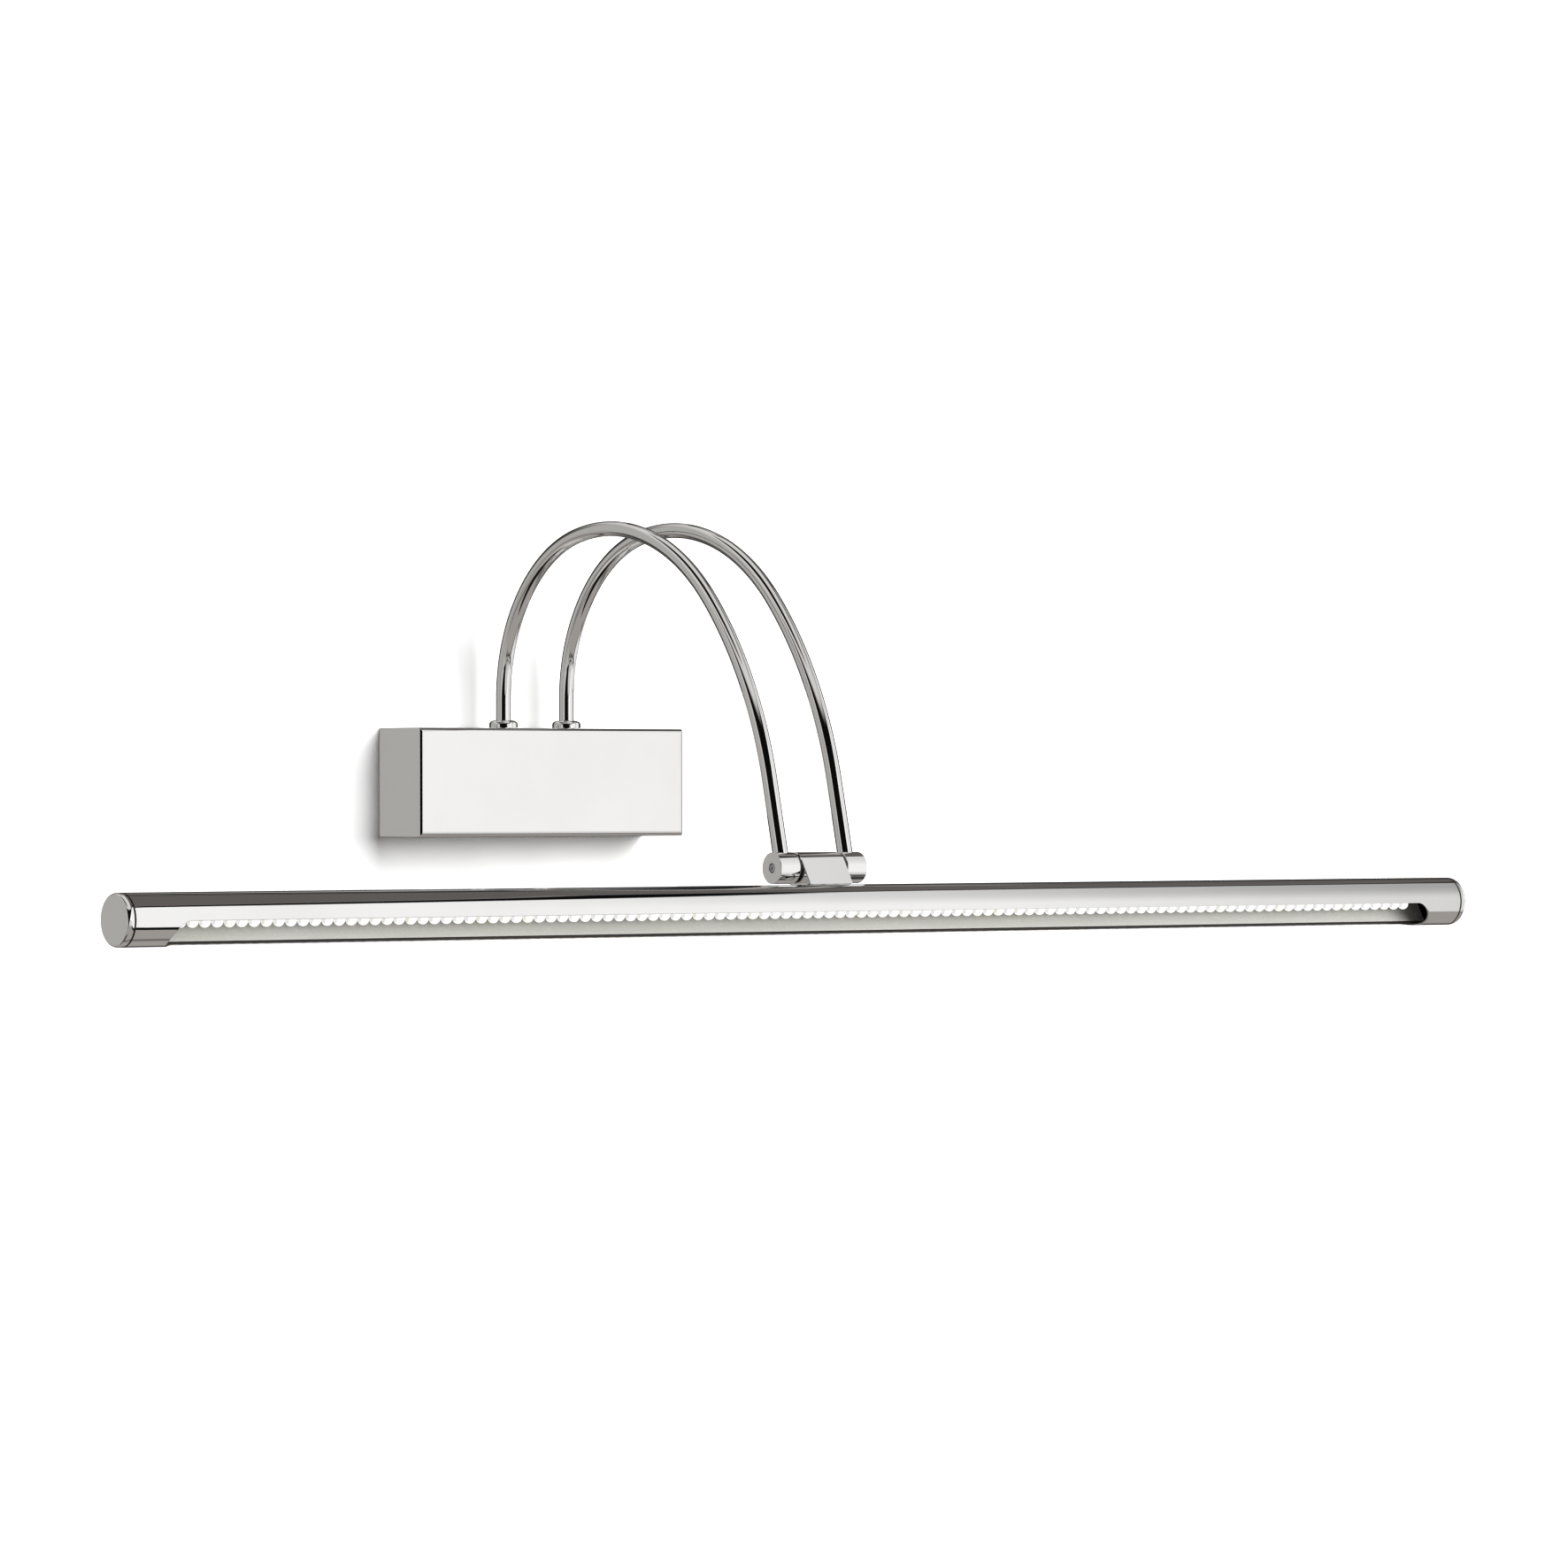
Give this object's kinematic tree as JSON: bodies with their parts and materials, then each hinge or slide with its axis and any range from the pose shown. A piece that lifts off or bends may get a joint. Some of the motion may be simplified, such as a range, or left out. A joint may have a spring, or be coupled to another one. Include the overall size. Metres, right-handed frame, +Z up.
{
  "type": "picture light",
  "caption": "Wall-mounted picture light: rectangular wall box, twin arched arms and a friction hinge carrying a long slotted chrome tube with a row of LEDs.",
  "frame": {"origin": "centre of the wall face of the wall box", "axes": "+X along the lamp tube, +Y into the wall, +Z up; the lamp stands out towards -Y"},
  "size_m": [0.74, 0.2573, 0.1871],
  "materials": {
    "chrome": "polished chrome plate",
    "zinc_steel": "zinc plated",
    "brass": "machined",
    "driver_plastic": "moulded white",
    "tray_plastic": "pale grey-green, satin",
    "board_white": "white solder mask",
    "led_white": "emissive white LED",
    "rubber": "black",
    "fibre": "dark fibre",
    "wire_brown": "brown insulation",
    "wire_blue": "blue insulation",
    "wire_clear": "pale insulation"
  },
  "bodies": {
    "wall_unit": {"wall_bracket": "zinc_steel", "box_cover": "chrome", "led_driver": "driver_plastic", "terminal_block": "driver_plastic", "cable_grommet": "rubber", "earth_screw": "brass", "terminal_screw_1": "brass", "terminal_screw_2": "brass", "terminal_screw_3": "brass", "driver_screw_left": "zinc_steel", "driver_screw_right": "zinc_steel", "cover_screw_left": "zinc_steel", "cover_screw_right": "zinc_steel", "driver_lead_live": "wire_brown", "driver_lead_neutral": "wire_blue", "arm_tube_left": "chrome", "arm_tube_right": "chrome", "arm_lead_left": "wire_clear", "arm_lead_right": "wire_clear", "arm_collar_left": "chrome", "arm_collar_right": "chrome", "arm_washer_left": "zinc_steel", "arm_washer_right": "zinc_steel", "arm_nut_left": "zinc_steel", "arm_nut_right": "zinc_steel", "hinge_axle": "zinc_steel", "hinge_sleeve_left": "chrome", "hinge_sleeve_right": "chrome", "hinge_screw_left": "zinc_steel", "hinge_screw_right": "zinc_steel", "friction_washer_left": "fibre", "friction_washer_right": "fibre"},
    "lamp": {"hinge_block": "chrome", "lamp_tube": "chrome", "led_tray": "tray_plastic", "led_board": "board_white", "led_row": "led_white", "lamp_lead": "wire_clear", "end_cap_left": "chrome", "end_cap_right": "chrome", "block_screw_left": "zinc_steel", "block_screw_right": "zinc_steel", "tray_screw_left": "zinc_steel", "tray_screw_right": "zinc_steel", "board_screw_1": "zinc_steel", "board_screw_2": "zinc_steel", "board_screw_3": "zinc_steel", "board_screw_4": "zinc_steel"}
  },
  "joints": [
    {"name": "lamp_tilt", "type": "hinge", "parent": "wall_unit", "child": "lamp", "pos_m": [0, -0.23269, -0.03822], "axis": [1, 0, 0], "range_deg": [-45, 90]}
  ]
}
